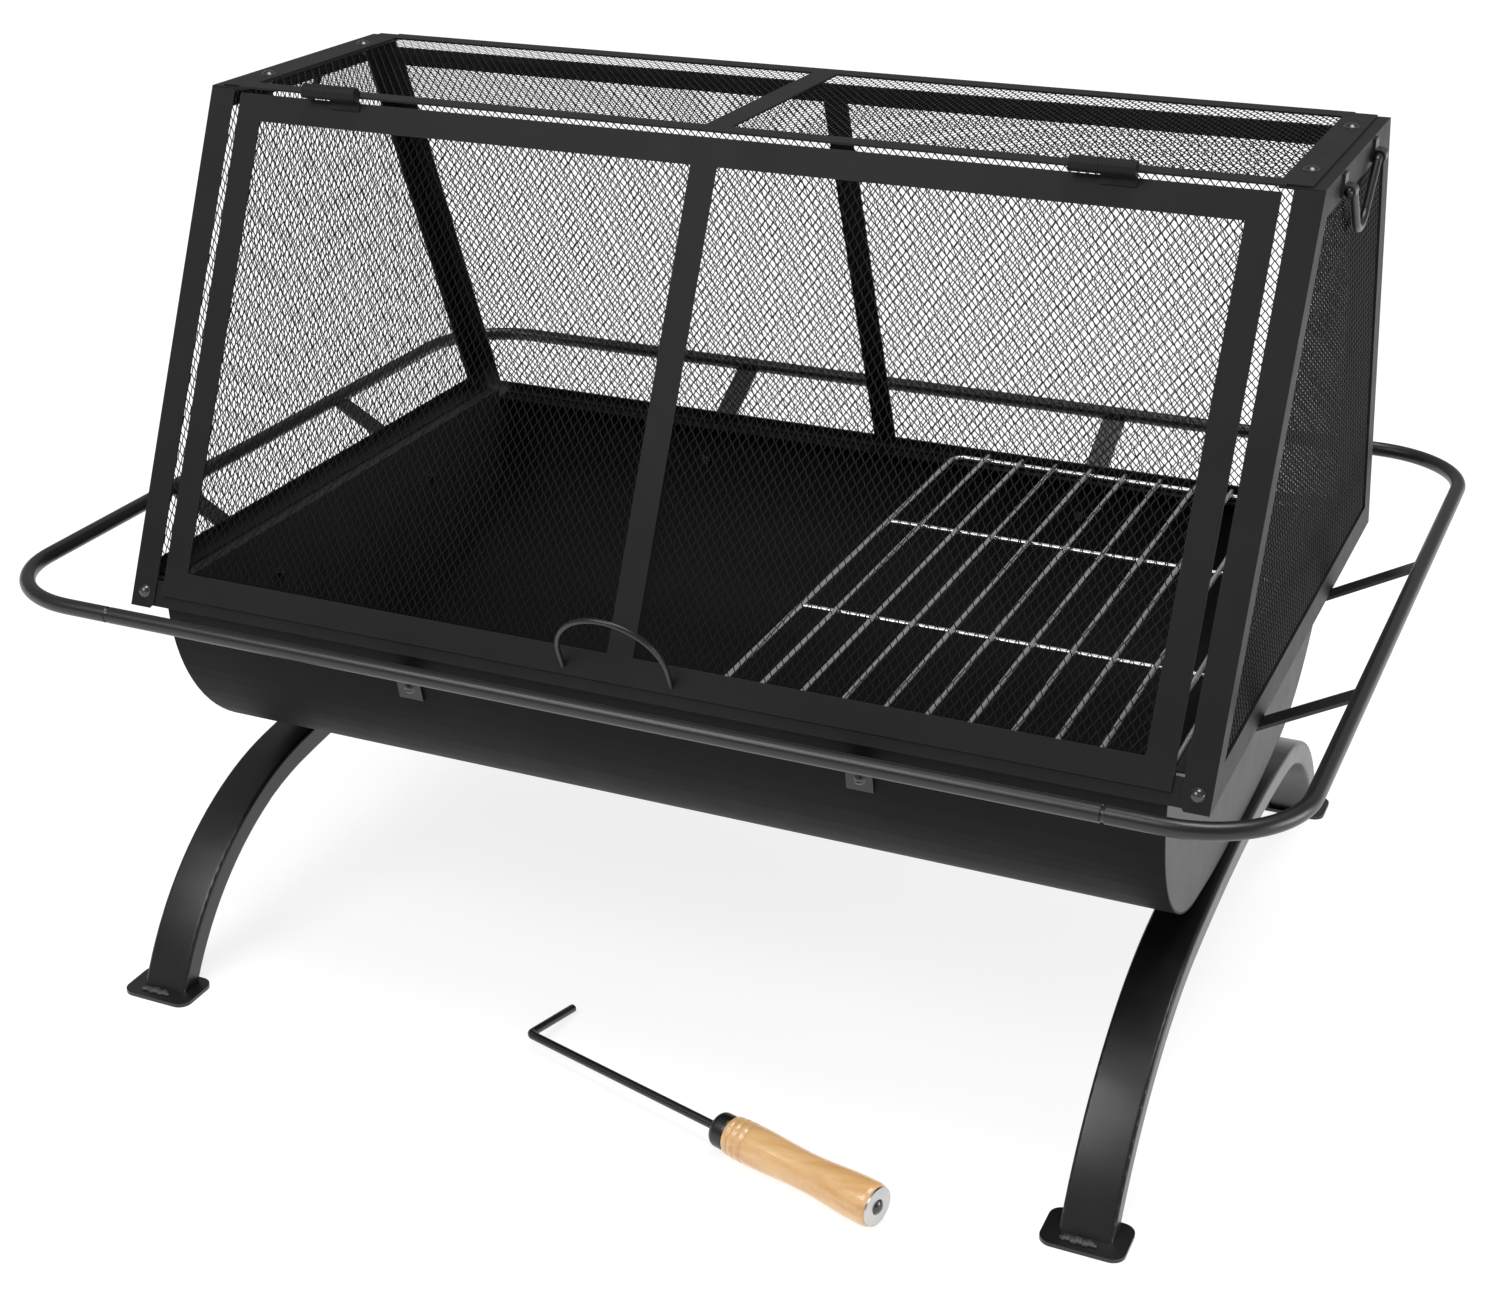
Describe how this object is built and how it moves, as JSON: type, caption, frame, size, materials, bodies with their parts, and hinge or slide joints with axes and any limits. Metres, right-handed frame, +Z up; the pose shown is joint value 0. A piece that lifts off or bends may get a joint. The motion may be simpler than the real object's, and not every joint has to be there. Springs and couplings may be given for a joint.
{
  "type": "fire pit with grate",
  "caption": "Rectangular trough fire pit on arched legs with a tube rail, a lift-off mesh spark cage with a swing-up door, a wire cooking grate and a poker.",
  "frame": {"origin": "on the ground, under the middle of the bowl", "axes": "+X along the length to the end where the grate lies, -Y to the front where the door is, +Z up"},
  "size_m": [0.98, 0.7822, 0.6799],
  "materials": {
    "frame_black": "satin black powder coat",
    "bowl_black": "satin black heat-proof paint",
    "mesh_black": "black painted expanded metal",
    "fixings_dark": "blackened steel",
    "grate_chrome": "bright chrome plating",
    "washer_chrome": "bright zinc plating",
    "grip_wood": "clear varnished light hardwood"
  },
  "bodies": {
    "fire_bowl": {"bowl_trough": "bowl_black", "bowl_end_left": "bowl_black", "bowl_end_right": "bowl_black", "rail_front": "frame_black", "rail_back": "frame_black", "rail_left": "frame_black", "rail_right": "frame_black", "rail_brackets_front": "frame_black", "rail_brackets_back": "frame_black", "rail_brackets_left": "frame_black", "rail_brackets_right": "frame_black", "bracket_screws": "fixings_dark", "bracket_nuts": "fixings_dark", "leg_left": "frame_black", "leg_right": "frame_black", "foot_plates_left": "frame_black", "foot_plates_right": "frame_black", "leg_bolts": "fixings_dark", "leg_nuts": "fixings_dark"},
    "cage": {"cage_end_left": "frame_black", "cage_end_right": "frame_black", "cage_mesh_left": "mesh_black", "cage_mesh_right": "mesh_black", "cage_rest_left": "frame_black", "cage_rest_right": "frame_black", "cage_back_frame": "frame_black", "cage_back_mesh": "mesh_black", "cage_top_frame": "frame_black", "cage_top_mesh": "mesh_black", "cage_front_rail": "frame_black", "cage_top_screws": "fixings_dark", "cage_flange_screws": "fixings_dark", "cage_nuts": "fixings_dark", "ring_clips_left": "frame_black", "ring_clips_right": "frame_black", "hinge_top_knuckles": "frame_black", "hinge_pins": "fixings_dark"},
    "door": {"door_frame": "frame_black", "door_mesh": "mesh_black", "door_handle": "frame_black", "hinge_door_knuckles": "frame_black"},
    "left_handle": {"ring_handle_left": "frame_black"},
    "right_handle": {"ring_handle_right": "frame_black"},
    "grate": {"grate_edge_wire": "grate_chrome", "grate_bars_long": "grate_chrome", "grate_cross_wires": "grate_chrome"},
    "poker": {"poker_shaft": "frame_black", "poker_ferrule": "fixings_dark", "poker_grip": "grip_wood", "poker_washer": "washer_chrome", "poker_nut": "fixings_dark"}
  },
  "joints": [
    {"name": "cage_lift", "type": "slide", "parent": "fire_bowl", "child": "cage", "axis": [0, 0, 1], "range_m": [0, 0.15]},
    {"name": "door_hinge", "type": "hinge", "parent": "cage", "child": "door", "pos_m": [0, -0.125, 0.6745], "axis": [-1, 0, 0], "range_deg": [0, 240]},
    {"name": "left_handle_swing", "type": "hinge", "parent": "cage", "child": "left_handle", "pos_m": [-0.424, 0, 0.657], "axis": [0, 1, 0], "range_deg": [0, 170]},
    {"name": "right_handle_swing", "type": "hinge", "parent": "cage", "child": "right_handle", "pos_m": [0.424, 0, 0.657], "axis": [0, -1, 0], "range_deg": [0, 170]},
    {"name": "grate_slide", "type": "slide", "parent": "fire_bowl", "child": "grate", "axis": [-1, 0, 0], "range_m": [0, 0.445]},
    {"name": "poker_lift", "type": "slide", "parent": "fire_bowl", "child": "poker", "axis": [0, -0.8, 0.6], "range_m": [0, 0.5]}
  ]
}
